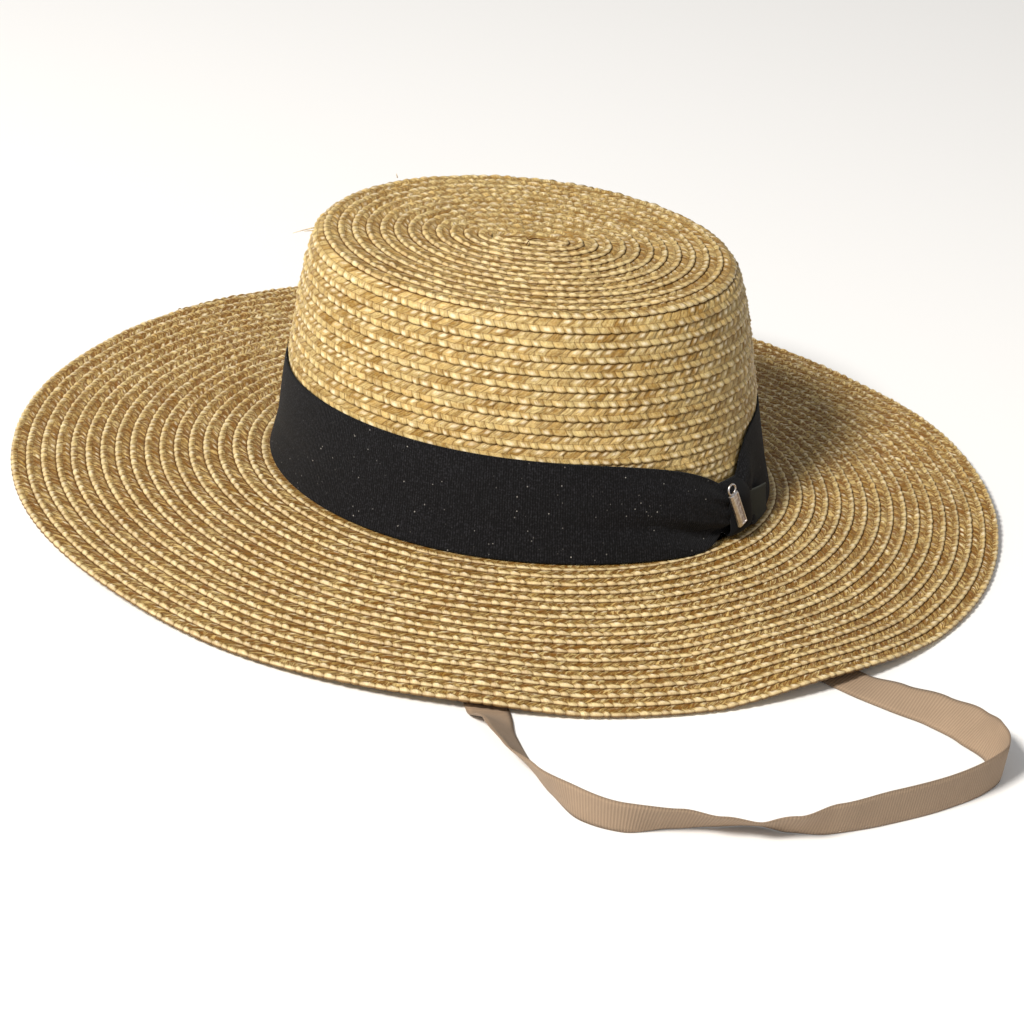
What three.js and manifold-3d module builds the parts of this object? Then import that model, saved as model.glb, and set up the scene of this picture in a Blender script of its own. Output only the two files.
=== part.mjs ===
// Straw boater hat, in millimetres, +Z up.
// It rests on the underside of its brim, and X runs along the long axis of its oval head.

import * as THREE from "three";
import Module from "manifold-3d";
import { mergeVertices } from "three/addons/utils/BufferGeometryUtils.js";

const wasm = await Module();
wasm.setup();

// Straw plait
const STRAW_WALL = 1.9;
const ROW_STEP = 0.7;
const RISER_RUN = 0.3;
const OVAL_SEGMENTS = 44;

// Brim
const BRIM_HALF_LENGTH = 200;
const BRIM_HALF_WIDTH = 186;
const BRIM_ROWS = 18;
const BRIM_ROOT_Z = 5.5;
const BRIM_EDGE_Z = 2.1;
const BRIM_SEAT_SHARE = 0.955;

// Crown
const CROWN_SHIFT = 4.7;
const CROWN_LEAN = -6.5;
const SIDE_ROWS = 10;
const TIP_ROWS = 12;
const SEAT_GAP = 0.3;

// Ribbon band
const BAND_THICKNESS = 1.0;
const BAND_BOTTOM_Z = 6.2;
const BAND_TOP_Z = 45.8;
const KNOT_ANGLE = -33;
const KNOT_TOP_Z = 29.8;
const KNOT_BOTTOM_Z = 9.0;
const PINCH_LEFT_REACH = 15;
const PINCH_RIGHT_REACH = 5.5;
const PINCH_LEFT_SPAN = 45;
const PINCH_RIGHT_SPAN = 17;
const PINCH_FOOT_SPAN = 9;
const PINCH_LEFT_STEPS = 10;
const PINCH_RIGHT_STEPS = 5;
const KNOT_STEPS = 2;
const REST_STEPS = 37;
const BAND_GAP = 0.45;
const BAND_FLARE = 1.3;
const BAND_FLARE_SHARE = 0.35;

// Keeper and tail of the band
const KEEPER_HALF_ANGLE = 3.6;
const KEEPER_THICKNESS = 1.0;
const TAIL_FROM_ANGLE = -25;
const TAIL_TO_ANGLE = -13.5;
const TAIL_TOP_Z = 19.5;
const TAIL_BOTTOM_Z = 6.6;

// Metal tag
const TAG_LENGTH = 15.4;
const TAG_WIDTH = 4.8;
const TAG_THICKNESS = 1.6;
const TAG_RECESS = 0.4;
const TAG_RIM = 0.7;
const EYE_RADIUS = 2.1;
const EYE_WIRE_RADIUS = 0.42;
const TAG_TURN = 22;
const TAG_ANGLE = KNOT_ANGLE - 1.6;
const TAG_MIDDLE_Z = 20.6;
const TAG_GAP = 0.45;

// Chin strap
const STRAP_WIDTH = 15;
const STRAP_THICKNESS = 0.8;
const STRAP_FLOOR_GAP = 0.2;
const STRAP_STEPS = 75;

// Half length and half width of the outside of the crown at each height
const CROWN_SECTIONS = [
  { z: BRIM_ROOT_Z + SEAT_GAP, halfLength: 99.5, halfWidth: 83.0 },
  { z: 45.8, halfLength: 93.6, halfWidth: 77.4 },
  { z: 72.0, halfLength: 89.4, halfWidth: 74.8 },
  { z: 90.0, halfLength: 85.8, halfWidth: 73.2 },
  { z: 97.5, halfLength: 83.6, halfWidth: 72.0 },
  { z: 101.8, halfLength: 80.0, halfWidth: 69.4 },
];

// The small oval that the first turn of plait is sewn round
const TIP_CENTRE = { z: 104.4, halfLength: 14.2, halfWidth: 3.6 };

// How high the edge of the brim stands off the ground round the hat
const BRIM_WAVE = [
  { angle: 0, lift: 1.9 },
  { angle: 25, lift: 2.6 },
  { angle: 50, lift: -1.2 },
  { angle: 90, lift: 0.9 },
  { angle: 135, lift: 1.6 },
  { angle: 180, lift: -1.2 },
  { angle: 222, lift: 2.2 },
  { angle: 243, lift: 0.9 },
  { angle: 268, lift: 3.0 },
  { angle: 289, lift: -1.8 },
  { angle: 308, lift: 4.6 },
  { angle: 334, lift: -1.4 },
];

// Share of the band's height at which each line of its face lies, and how far the pinched face
// stands out there next to the knot
const BAND_LINES = [
  { share: 0.0, bulge: 1.2 },
  { share: 0.12, bulge: 2.8 },
  { share: 0.26, bulge: 2.0 },
  { share: 0.36, bulge: 0.4 },
  { share: 0.46, bulge: 2.2 },
  { share: 0.68, bulge: 3.6 },
  { share: 0.88, bulge: 2.6 },
  { share: 1.0, bulge: 0.6 },
];

// Section of the keeper, from under the pinched band, over its face, to above it
const KEEPER_SECTION = [
  { out: 1.0, z: 7.5 },
  { out: 3.6, z: 7.2 },
  { out: 6.2, z: 10.6 },
  { out: 6.4, z: 17.6 },
  { out: 6.3, z: 25.2 },
  { out: 4.3, z: 30.6 },
  { out: 1.0, z: 31.4 },
];

// Route of the chin strap from the near side of the head opening, round in front of the hat and
// back to the far side. raise lifts it off the ground, and lean turns it from upright towards the
// right hand side of its route, in degrees.
const STRAP_ROUTE = [
  { x: -33, y: -83, raise: 2.1, lean: 90 },
  { x: -28, y: -108, raise: 1.1, lean: 90 },
  { x: -20, y: -133, raise: 0, lean: 90 },
  { x: -11.3, y: -150.6, raise: 0, lean: 90 },
  { x: -3.3, y: -167.2, raise: 0, lean: 89 },
  { x: 1.7, y: -184, raise: 0, lean: 89 },
  { x: 6.5, y: -200.7, raise: 0, lean: 55 },
  { x: 13, y: -216.1, raise: 0, lean: 48 },
  { x: 22.3, y: -232.9, raise: 0, lean: 30 },
  { x: 34.4, y: -246, raise: 0, lean: 14 },
  { x: 49.3, y: -251.2, raise: 0, lean: 18 },
  { x: 66.1, y: -247.9, raise: 0, lean: 31 },
  { x: 80.2, y: -245.5, raise: 0, lean: 44 },
  { x: 93.2, y: -243.3, raise: 0, lean: 53 },
  { x: 104.8, y: -243.5, raise: 0, lean: 36 },
  { x: 119, y: -239.2, raise: 0, lean: 15 },
  { x: 137.6, y: -229.4, raise: 0, lean: 7 },
  { x: 157.7, y: -216.9, raise: 0, lean: 6 },
  { x: 173.5, y: -203.1, raise: 0, lean: 3 },
  { x: 180.2, y: -192.5, raise: 0, lean: 3 },
  { x: 178, y: -181.5, raise: 0, lean: 20 },
  { x: 171.5, y: -168.5, raise: 0, lean: 50 },
  { x: 161, y: -157.5, raise: 0, lean: 67 },
  { x: 147.5, y: -149.5, raise: 0, lean: 76 },
  { x: 133.5, y: -140.5, raise: 0, lean: 86 },
  { x: 119, y: -128.5, raise: 0, lean: 90 },
  { x: 106, y: -110, raise: 0, lean: 90 },
  { x: 84, y: -58, raise: 0, lean: 90 },
  { x: 64, y: 6, raise: 0, lean: 90 },
  { x: 53, y: 55, raise: 0.7, lean: 90 },
  { x: 48, y: 79.5, raise: 2.1, lean: 90 },
];

const straw = new THREE.MeshStandardMaterial({ color: 0xc8a45e, roughness: 0.6, metalness: 0 });
const blackRibbon = new THREE.MeshStandardMaterial({ color: 0x121216, roughness: 0.85, metalness: 0 });
const beigeRibbon = new THREE.MeshStandardMaterial({ color: 0xb89a76, roughness: 0.8, metalness: 0 });
const silver = new THREE.MeshStandardMaterial({ color: 0xc9c9cc, roughness: 0.25, metalness: 1 });

const radians = THREE.MathUtils.degToRad;
const lerp = THREE.MathUtils.lerp;

// Reads a table as a piecewise straight line: the named column at a value of the key column.
function fromTable(table, key, column, value) {
  const last = table.length - 1;
  let row = 0;
  while (row < last - 1 && value > table[row + 1][key]) row += 1;
  const share = (value - table[row][key]) / (table[row + 1][key] - table[row][key]);
  return lerp(table[row][column], table[row + 1][column], THREE.MathUtils.clamp(share, 0, 1));
}

// A smooth bump that is 1 at 0 and falls to 0 at 1.
function bump(distance) {
  const inside = THREE.MathUtils.clamp(1 - Math.abs(distance), 0, 1);
  return inside * inside * (3 - 2 * inside);
}

// Height of the brim's edge at an angle in degrees. The lowest stretches lie flat on the ground.
const waveCurve = new THREE.CatmullRomCurve3(
  BRIM_WAVE.map((row) => new THREE.Vector3(row.angle, row.lift, 0)).concat(
    new THREE.Vector3(360 + BRIM_WAVE[0].angle, BRIM_WAVE[0].lift, 0),
  ),
  false,
  "catmullrom",
  0.4,
);

function edgeLift(degrees) {
  const angle = THREE.MathUtils.euclideanModulo(degrees, 360);
  let low = 0;
  let high = 1;
  for (let step = 0; step < 24; step += 1) {
    const middle = (low + high) / 2;
    if (waveCurve.getPoint(middle).x < angle) low = middle;
    else high = middle;
  }
  return Math.max(0, waveCurve.getPoint(low).y);
}

function ovalAngles(count) {
  return Array.from({ length: count }, (unused, index) => (360 * index) / count);
}

function ovalPoint(degrees, halfLength, halfWidth, z, centreX) {
  const angle = radians(degrees);
  return new THREE.Vector3(centreX + halfLength * Math.cos(angle), halfWidth * Math.sin(angle), z);
}

function crownCentreX(z) {
  const topZ = TIP_CENTRE.z;
  return CROWN_SHIFT + (CROWN_LEAN * (z - BRIM_ROOT_Z)) / (topZ - BRIM_ROOT_Z);
}

// A point standing a distance outside the crown's side at a height.
function besideCrown(degrees, out, z) {
  const halfLength = fromTable(CROWN_SECTIONS, "z", "halfLength", z) + out;
  const halfWidth = fromTable(CROWN_SECTIONS, "z", "halfWidth", z) + out;
  return ovalPoint(degrees, halfLength, halfWidth, z, crownCentreX(z));
}

// Makes a closed mesh from points and faces, turned so that its faces look outwards.
function closedMesh(name, points, faces, material) {
  let volume = 0;
  const cross = new THREE.Vector3();
  for (const [a, b, c] of faces) {
    volume += points[a].dot(cross.crossVectors(points[b], points[c]));
  }
  const turned = volume < 0 ? faces.map(([a, b, c]) => [a, c, b]) : faces;
  const geometry = new THREE.BufferGeometry().setFromPoints(points);
  geometry.setIndex(turned.flat());
  geometry.computeVertexNormals();
  const mesh = new THREE.Mesh(geometry, material);
  mesh.name = name;
  return mesh;
}

// Joins neighbouring rings of points with strips of faces. Each ring is a closed loop.
function stripFaces(ringCount, ringSize, closed) {
  const faces = [];
  const strips = closed ? ringCount : ringCount - 1;
  for (let ring = 0; ring < strips; ring += 1) {
    const next = (ring + 1) % ringCount;
    for (let side = 0; side < ringSize; side += 1) {
      const after = (side + 1) % ringSize;
      const a = ring * ringSize + side;
      const b = ring * ringSize + after;
      const c = next * ringSize + after;
      const d = next * ringSize + side;
      faces.push([a, b, c], [a, c, d]);
    }
  }
  return faces;
}

// A solid swept through a list of closed sections. It is a ring when closed, or else each end gets
// a flat cap, cut along the outline in the plane coordinates that the caller gives.
function sweptSolid(name, sections, material, capOutline) {
  const size = sections[0].length;
  const faces = stripFaces(sections.length, size, !capOutline);
  if (capOutline) {
    const start = (sections.length - 1) * size;
    for (const [a, b, c] of THREE.ShapeUtils.triangulateShape(capOutline, [])) {
      const forward = THREE.ShapeUtils.area(capOutline) > 0;
      const near = forward ? [a, c, b] : [a, b, c];
      const far = forward ? [a, b, c] : [a, c, b];
      faces.push(near, far.map((index) => index + start));
    }
  }
  return closedMesh(name, sections.flat(), faces, material);
}

// A domed shell: a stack of rings closed by a middle point at each end.
function cappedStack(name, rings, firstPole, lastPole, material) {
  const size = rings[0].length;
  const points = rings.flat();
  const faces = stripFaces(rings.length, size, false);
  const first = points.push(firstPole) - 1;
  const last = points.push(lastPole) - 1;
  const lastRing = (rings.length - 1) * size;
  for (let side = 0; side < size; side += 1) {
    const after = (side + 1) % size;
    faces.push([first, after, side]);
    faces.push([last, lastRing + side, lastRing + after]);
  }
  return closedMesh(name, points, faces, material);
}

// Crown: its rows of plait lie like shingles, so each row's lower or outer edge stands proud.
function makeCrown() {
  const path = CROWN_SECTIONS.slice(1).concat(TIP_CENTRE);
  const radius = (row) => (row.halfLength + row.halfWidth) / 2;
  const lengths = [0];
  for (let row = 1; row < path.length; row += 1) {
    const across = radius(path[row]) - radius(path[row - 1]);
    lengths.push(lengths[row - 1] + Math.hypot(across, path[row].z - path[row - 1].z));
  }
  const sideLength = lengths[CROWN_SECTIONS.length - 2];
  const tipLength = lengths[lengths.length - 1] - sideLength;

  // The section at a distance up the crown from the top of the band, moved out along its normal
  const sectionAt = (distance, proud) => {
    let row = 0;
    while (row < path.length - 2 && distance > lengths[row + 1]) row += 1;
    const from = path[row];
    const to = path[row + 1];
    const share = (distance - lengths[row]) / (lengths[row + 1] - lengths[row]);
    const run = radius(to) - radius(from);
    const rise = to.z - from.z;
    const slope = Math.hypot(run, rise);
    const out = (proud * rise) / slope;
    return {
      z: lerp(from.z, to.z, share) - (proud * run) / slope,
      halfLength: lerp(from.halfLength, to.halfLength, share) + out,
      halfWidth: lerp(from.halfWidth, to.halfWidth, share) + out,
    };
  };

  const foot = CROWN_SECTIONS[0];
  const outside = [foot, CROWN_SECTIONS[1]];
  const addRows = (start, length, count) => {
    const pitch = length / count;
    for (let row = 0; row < count; row += 1) {
      const low = start + row * pitch + (row === 0 && start === 0 ? RISER_RUN : 0);
      outside.push(sectionAt(low, ROW_STEP));
      outside.push(sectionAt(start + (row + 1) * pitch - RISER_RUN, 0));
    }
  };
  addRows(0, sideLength, SIDE_ROWS);
  addRows(sideLength, tipLength, TIP_ROWS);

  const inside = [TIP_CENTRE, ...CROWN_SECTIONS.slice(1).reverse()].map((row) => ({
    z: row.z - (row.z > CROWN_SECTIONS[4].z ? STRAW_WALL : 0),
    halfLength: row.halfLength - (row === TIP_CENTRE ? 0 : STRAW_WALL),
    halfWidth: row.halfWidth - (row === TIP_CENTRE ? 0 : STRAW_WALL),
  }));
  inside.push({
    z: foot.z,
    halfLength: foot.halfLength - STRAW_WALL,
    halfWidth: foot.halfWidth - STRAW_WALL,
  });

  const angles = ovalAngles(OVAL_SEGMENTS);
  const ring = (row) => {
    const centreX = crownCentreX(row.z);
    return angles.map((degrees) => ovalPoint(degrees, row.halfLength, row.halfWidth, row.z, centreX));
  };
  const rings = [...inside, ...outside].map(ring);
  const poleX = crownCentreX(TIP_CENTRE.z);
  const under = new THREE.Vector3(poleX, 0, TIP_CENTRE.z - STRAW_WALL);
  const top = new THREE.Vector3(poleX, 0, TIP_CENTRE.z);
  return cappedStack("crown", rings, under, top, straw);
}

// Brim: rows of plait between the crown's foot and the wavy edge, with a plain underside.
function makeBrim() {
  const foot = CROWN_SECTIONS[0];
  const point = (degrees, share, height) => {
    const lift = edgeLift(degrees) * Math.min(1, share / BRIM_SEAT_SHARE) ** 2;
    const halfLength = lerp(foot.halfLength, BRIM_HALF_LENGTH, share);
    const halfWidth = lerp(foot.halfWidth, BRIM_HALF_WIDTH, share);
    return ovalPoint(degrees, halfLength, halfWidth, height + lift, CROWN_SHIFT * (1 - share));
  };
  const topZ = (share) => lerp(BRIM_ROOT_Z, BRIM_EDGE_Z, share);
  const innerShare = -STRAW_WALL / (BRIM_HALF_LENGTH - foot.halfLength);
  const riser = RISER_RUN / (BRIM_HALF_LENGTH - foot.halfLength);

  const profile = [
    { share: innerShare, height: BRIM_ROOT_Z - STRAW_WALL },
    { share: innerShare, height: BRIM_ROOT_Z },
  ];
  for (let row = 0; row < BRIM_ROWS; row += 1) {
    const from = row / BRIM_ROWS;
    const to = (row + 1) / BRIM_ROWS;
    profile.push({ share: from + riser, height: topZ(from) });
    profile.push({ share: to, height: topZ(to) + (row < BRIM_ROWS - 1 ? ROW_STEP : 0) });
  }
  profile.push({ share: 1, height: 0 });
  profile.push({ share: BRIM_SEAT_SHARE, height: 0 });
  profile.push({ share: 0.5, height: topZ(0.5) - STRAW_WALL });

  const sections = ovalAngles(OVAL_SEGMENTS).map((degrees) =>
    profile.map((row) => point(degrees, row.share, row.height)),
  );
  return sweptSolid("brim", sections, straw);
}

// Band: a closed ribbon that drops and bulges towards its pinched join.
function makeBand() {
  const knotFrom = KNOT_ANGLE - KEEPER_HALF_ANGLE;
  const knotTo = KNOT_ANGLE + KEEPER_HALF_ANGLE;
  const pinchFrom = knotFrom - PINCH_LEFT_SPAN;
  const pinchTo = knotTo + PINCH_RIGHT_SPAN;
  const angles = [];
  const addAngles = (from, to, count) => {
    for (let step = 0; step < count; step += 1) angles.push(lerp(from, to, step / count));
  };
  addAngles(pinchFrom, knotFrom, PINCH_LEFT_STEPS);
  addAngles(knotFrom, knotTo, KNOT_STEPS);
  addAngles(knotTo, pinchTo, PINCH_RIGHT_STEPS);
  addAngles(pinchTo, pinchFrom + 360, REST_STEPS);

  const inner = BAND_GAP;
  const outer = BAND_GAP + BAND_THICKNESS;
  const sections = angles.map((degrees) => {
    const side = Math.sign(degrees - KNOT_ANGLE);
    const away = Math.max(0, Math.abs(degrees - KNOT_ANGLE) - KEEPER_HALF_ANGLE);
    const pinch = Math.exp(-away / (side < 0 ? PINCH_LEFT_REACH : PINCH_RIGHT_REACH));
    const bottom = lerp(BAND_BOTTOM_Z, KNOT_BOTTOM_Z, bump(away / PINCH_FOOT_SPAN));
    const top = lerp(BAND_TOP_Z, KNOT_TOP_Z, pinch);
    const at = (line, out) => {
      const flare = BAND_FLARE * (1 - pinch) * Math.max(0, 1 - line.share / BAND_FLARE_SHARE);
      return besideCrown(degrees, out + line.bulge * pinch + flare, lerp(bottom, top, line.share));
    };
    const face = BAND_LINES.map((line) => at(line, outer));
    const back = [...BAND_LINES].reverse().map((line) => at(line, inner));
    return [...face, ...back];
  });
  return sweptSolid("band", sections, blackRibbon);
}

// A strip of ribbon laid over the crown's side: a section in distance out and height, swept round
// the oval between two angles.
function sideStrip(name, line, thickness, fromAngle, toAngle, steps) {
  const curve = new THREE.CatmullRomCurve3(line.map((row) => new THREE.Vector3(row.out, row.z, 0)));
  const count = line.length > 2 ? 2 * line.length : 2;
  const outline = [];
  const inner = [];
  for (let index = 0; index <= count; index += 1) {
    const at = curve.getPoint(index / count);
    const along = curve.getTangent(index / count);
    outline.push(new THREE.Vector2(at.x + (along.y * thickness) / 2, at.y - (along.x * thickness) / 2));
    inner.push(new THREE.Vector2(at.x - (along.y * thickness) / 2, at.y + (along.x * thickness) / 2));
  }
  outline.push(...inner.reverse());
  const sections = [];
  for (let step = 0; step <= steps; step += 1) {
    const degrees = lerp(fromAngle, toAngle, step / steps);
    sections.push(outline.map((corner) => besideCrown(degrees, corner.x, corner.y)));
  }
  return sweptSolid(name, sections, blackRibbon, outline);
}

function makeKeeper() {
  const from = KNOT_ANGLE - KEEPER_HALF_ANGLE;
  const to = KNOT_ANGLE + KEEPER_HALF_ANGLE;
  return sideStrip("band_keeper", KEEPER_SECTION, KEEPER_THICKNESS, from, to, 4);
}

function makeTail() {
  const out = BAND_GAP + BAND_THICKNESS * 1.5 + SEAT_GAP;
  const line = [
    { out: out + 1.4, z: TAIL_BOTTOM_Z },
    { out: out + 2.2, z: (TAIL_BOTTOM_Z + TAIL_TOP_Z) / 2 },
    { out: out + 2.4, z: TAIL_TOP_Z },
  ];
  return sideStrip("band_tail", line, BAND_THICKNESS, TAIL_FROM_ANGLE, TAIL_TO_ANGLE, 3);
}

function toManifold(geometry) {
  const bare = geometry.clone();
  bare.deleteAttribute("normal");
  bare.deleteAttribute("uv");
  const merged = mergeVertices(bare, 1e-4);
  const vertProperties = new Float32Array(merged.attributes.position.array);
  const triVerts = new Uint32Array(merged.index.array);
  return new wasm.Manifold(new wasm.Mesh({ numProp: 3, vertProperties, triVerts }));
}

function fromManifold(solid) {
  const mesh = solid.getMesh();
  const geometry = new THREE.BufferGeometry();
  geometry.setAttribute("position", new THREE.BufferAttribute(mesh.vertProperties, 3));
  geometry.setIndex(new THREE.BufferAttribute(mesh.triVerts, 1));
  geometry.computeVertexNormals();
  return geometry;
}

// Tag: a thin plate with a recessed face and a round eye soldered to its top.
function makeTag() {
  const plate = new THREE.BoxGeometry(TAG_WIDTH, TAG_LENGTH, TAG_THICKNESS);
  const recess = new THREE.BoxGeometry(TAG_WIDTH - 2 * TAG_RIM, TAG_LENGTH - 2 * TAG_RIM, 2 * TAG_RECESS);
  recess.translate(0, 0, TAG_THICKNESS / 2);
  const eye = new THREE.TorusGeometry(EYE_RADIUS, EYE_WIRE_RADIUS, 8, 20);
  eye.translate(0, TAG_LENGTH / 2 + EYE_RADIUS, 0);
  const solid = toManifold(plate).subtract(toManifold(recess)).add(toManifold(eye));
  const tag = new THREE.Mesh(fromManifold(solid), silver);
  tag.name = "tag";

  const keeperFace = Math.max(...KEEPER_SECTION.map((row) => row.out)) + KEEPER_THICKNESS / 2;
  const out = keeperFace + TAG_GAP + TAG_THICKNESS / 2;
  const seat = besideCrown(TAG_ANGLE, out, TAG_MIDDLE_Z);
  const across = besideCrown(TAG_ANGLE + 0.1, out, TAG_MIDDLE_Z).sub(seat).normalize();
  const slope = besideCrown(TAG_ANGLE, out, TAG_MIDDLE_Z + 1).sub(seat);
  const outward = new THREE.Vector3().crossVectors(across, slope).normalize();
  const up = new THREE.Vector3().crossVectors(outward, across);
  tag.matrixAutoUpdate = false;
  tag.matrix.makeBasis(across, up, outward);
  tag.matrix.multiply(new THREE.Matrix4().makeRotationZ(radians(TAG_TURN)));
  tag.matrix.setPosition(seat);
  return tag;
}

// Chin strap: a flat ribbon that keeps its lower edge on the ground as it leans and turns.
function makeStrap() {
  const route = new THREE.CatmullRomCurve3(
    STRAP_ROUTE.map((row) => new THREE.Vector3(row.x, row.y, 0)),
    false,
    "centripetal",
  );
  const last = STRAP_ROUTE.length - 1;
  const column = (name, share) => {
    const at = Math.min(share * last, last - 1e-6);
    const row = Math.floor(at);
    const between = THREE.MathUtils.smoothstep(at - row, 0, 1);
    return lerp(STRAP_ROUTE[row][name], STRAP_ROUTE[row + 1][name], between);
  };
  const half = { width: STRAP_WIDTH / 2, thickness: STRAP_THICKNESS / 2 };
  const outline = [
    new THREE.Vector2(-half.width, -half.thickness),
    new THREE.Vector2(-half.width / 3, -half.thickness),
    new THREE.Vector2(half.width / 3, -half.thickness),
    new THREE.Vector2(half.width, -half.thickness),
    new THREE.Vector2(half.width, half.thickness),
    new THREE.Vector2(half.width / 3, half.thickness),
    new THREE.Vector2(-half.width / 3, half.thickness),
    new THREE.Vector2(-half.width, half.thickness),
  ];
  const sections = [];
  for (let step = 0; step <= STRAP_STEPS; step += 1) {
    const share = step / STRAP_STEPS;
    const at = route.getPoint(share);
    const along = route.getTangent(share);
    const lean = radians(column("lean", share));
    const right = new THREE.Vector3(along.y, -along.x, 0).normalize();
    const wide = new THREE.Vector3(0, 0, Math.cos(lean)).addScaledVector(right, Math.sin(lean));
    const thick = new THREE.Vector3().crossVectors(wide, along).normalize();
    const reach = half.width * Math.abs(wide.z) + half.thickness * Math.abs(thick.z);
    at.z = STRAP_FLOOR_GAP + reach + column("raise", share);
    sections.push(
      outline.map((corner) => at.clone().addScaledVector(wide, corner.x).addScaledVector(thick, corner.y)),
    );
  }
  return sweptSolid("chin_strap", sections, beigeRibbon, outline);
}

const hat = new THREE.Group();
hat.add(makeCrown(), makeBrim(), makeBand(), makeKeeper(), makeTail(), makeTag(), makeStrap());

export default hat;
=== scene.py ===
# Straw boater hat: plait, ribbon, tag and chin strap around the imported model, in metres.

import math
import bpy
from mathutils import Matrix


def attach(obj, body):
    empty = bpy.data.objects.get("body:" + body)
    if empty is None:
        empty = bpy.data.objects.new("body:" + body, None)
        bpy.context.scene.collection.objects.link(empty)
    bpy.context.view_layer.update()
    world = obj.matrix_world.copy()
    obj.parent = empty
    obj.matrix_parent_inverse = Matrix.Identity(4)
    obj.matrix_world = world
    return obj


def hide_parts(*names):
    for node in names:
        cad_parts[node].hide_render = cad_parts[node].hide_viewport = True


bl_info = {
    "name": "Straw boater hat",
    "version": (1, 0, 0),
    "blender": (4, 5, 0),
    "location": "3D View > Sidebar > Boater",
    "description": "Sewn straw plait, ribbon band, metal tag and chin strap on the packed hat",
    "category": "Add Mesh",
}

import bpy
import numpy as np
from bpy.props import FloatProperty, FloatVectorProperty, PointerProperty
from mathutils import Matrix, Vector

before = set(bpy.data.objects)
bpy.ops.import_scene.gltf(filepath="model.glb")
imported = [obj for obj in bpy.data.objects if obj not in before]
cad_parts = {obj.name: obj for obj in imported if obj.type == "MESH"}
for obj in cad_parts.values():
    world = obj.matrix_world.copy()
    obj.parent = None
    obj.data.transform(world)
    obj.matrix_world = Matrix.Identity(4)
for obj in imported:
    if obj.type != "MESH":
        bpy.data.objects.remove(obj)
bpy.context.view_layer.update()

MM = 0.001

# Camera, in millimetres, degrees and pixels of a 1024 pixel frame
FRAME_PX = 1024
VIEW_DISTANCE = 1100.0
VIEW_ELEVATION = 26.8
VIEW_TARGET_Z = 2.5
VIEW_ROLL = 6.0
FOCAL_PX = 2696.8
CENTRE_PX = (508.0, 467.5)
SENSOR_MM = 36.0

# Stage, in metres
FLOOR_HALF = 4.0
LIGHT_AIM = (0.0, 0.0, 0.03)
KEY_PLACE = (-1.45, -1.75, 2.2)
KEY_SIZE = 0.65
KEY_COLOUR = (1.0, 0.96, 0.90)
FILL_PLACE = (0.9, -2.9, 1.8)
FILL_SIZE = 2.5
FILL_COLOUR = (1.0, 0.97, 0.94)

# Crown, in millimetres: height, half length and half width of its ovals from the top down
CROWN_SECTIONS = (
    (104.4, 11.0, 0.4),
    (104.4, 14.2, 3.6),
    (101.8, 80.0, 69.4),
    (97.5, 83.6, 72.0),
    (90.0, 85.8, 73.2),
    (72.0, 89.4, 74.8),
    (45.8, 93.6, 77.4),
    (5.8, 99.5, 83.0),
)
CENTRE_ROWS = 1
TIP_ROWS = 12
SIDE_ROWS = 10
CROWN_SHIFT = 4.7
CROWN_LEAN = -6.5
CROWN_TOP_Z = 104.4
EDGE_ROUNDING = 2.2
TIP_OFFSET = 5.0
CORE_HALF_LENGTH = 19.0
CORE_SHIFT = 5.0
CORE_WIDTH = 7.0
CORE_SINK = 0.35

# Brim, in millimetres and degrees
BRIM_HALF_LENGTH = 200.0
BRIM_HALF_WIDTH = 186.0
BRIM_ROWS = 18
BRIM_WINDOW = 0.12
BRIM_ROOT_Z = 5.5
BRIM_EDGE_Z = 1.55
BRIM_SEAT_SHARE = 0.955
FOOT_HALF_LENGTH = 99.5
FOOT_HALF_WIDTH = 83.0
WAVE_TENSION = 0.4
BRIM_WAVE = (
    (0, 1.9),
    (25, 2.6),
    (50, -1.2),
    (90, 0.9),
    (135, 1.6),
    (180, -1.2),
    (222, 2.2),
    (243, 0.9),
    (268, 3.0),
    (289, -1.8),
    (308, 4.6),
    (334, -1.4),
    (360, 1.9),
)

# Chin strap, in millimetres and degrees: x, y, lift off the ground, lean from upright
STRAP_WIDTH = 15.0
STRAP_THICKNESS = 0.8
STRAP_EDGE = 0.48
STRAP_FLOOR_GAP = 0.2
STRAP_STATIONS = 701
STRAP_ROUTE = (
    (-33, -83, 2.1, 90),
    (-28, -108, 1.1, 90),
    (-20, -133, 0, 90),
    (-11.3, -150.6, 0, 90),
    (-3.3, -167.2, 0, 89),
    (1.7, -184, 0, 89),
    (6.5, -200.7, 0, 55),
    (13, -216.1, 0, 48),
    (22.3, -232.9, 0, 30),
    (34.4, -246, 0, 14),
    (49.3, -251.2, 0, 18),
    (66.1, -247.9, 0, 31),
    (80.2, -245.5, 0, 44),
    (93.2, -243.3, 0, 53),
    (104.8, -243.5, 0, 36),
    (119, -239.2, 0, 15),
    (137.6, -229.4, 0, 7),
    (157.7, -216.9, 0, 6),
    (173.5, -203.1, 0, 3),
    (180.2, -192.5, 0, 3),
    (178, -181.5, 0, 20),
    (171.5, -168.5, 0, 50),
    (161, -157.5, 0, 67),
    (147.5, -149.5, 0, 76),
    (133.5, -140.5, 0, 86),
    (119, -128.5, 0, 90),
    (106, -110, 0, 90),
    (84, -58, 0, 90),
    (64, 6, 0, 90),
    (53, 55, 0.7, 90),
    (48, 79.5, 2.1, 90),
)

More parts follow.
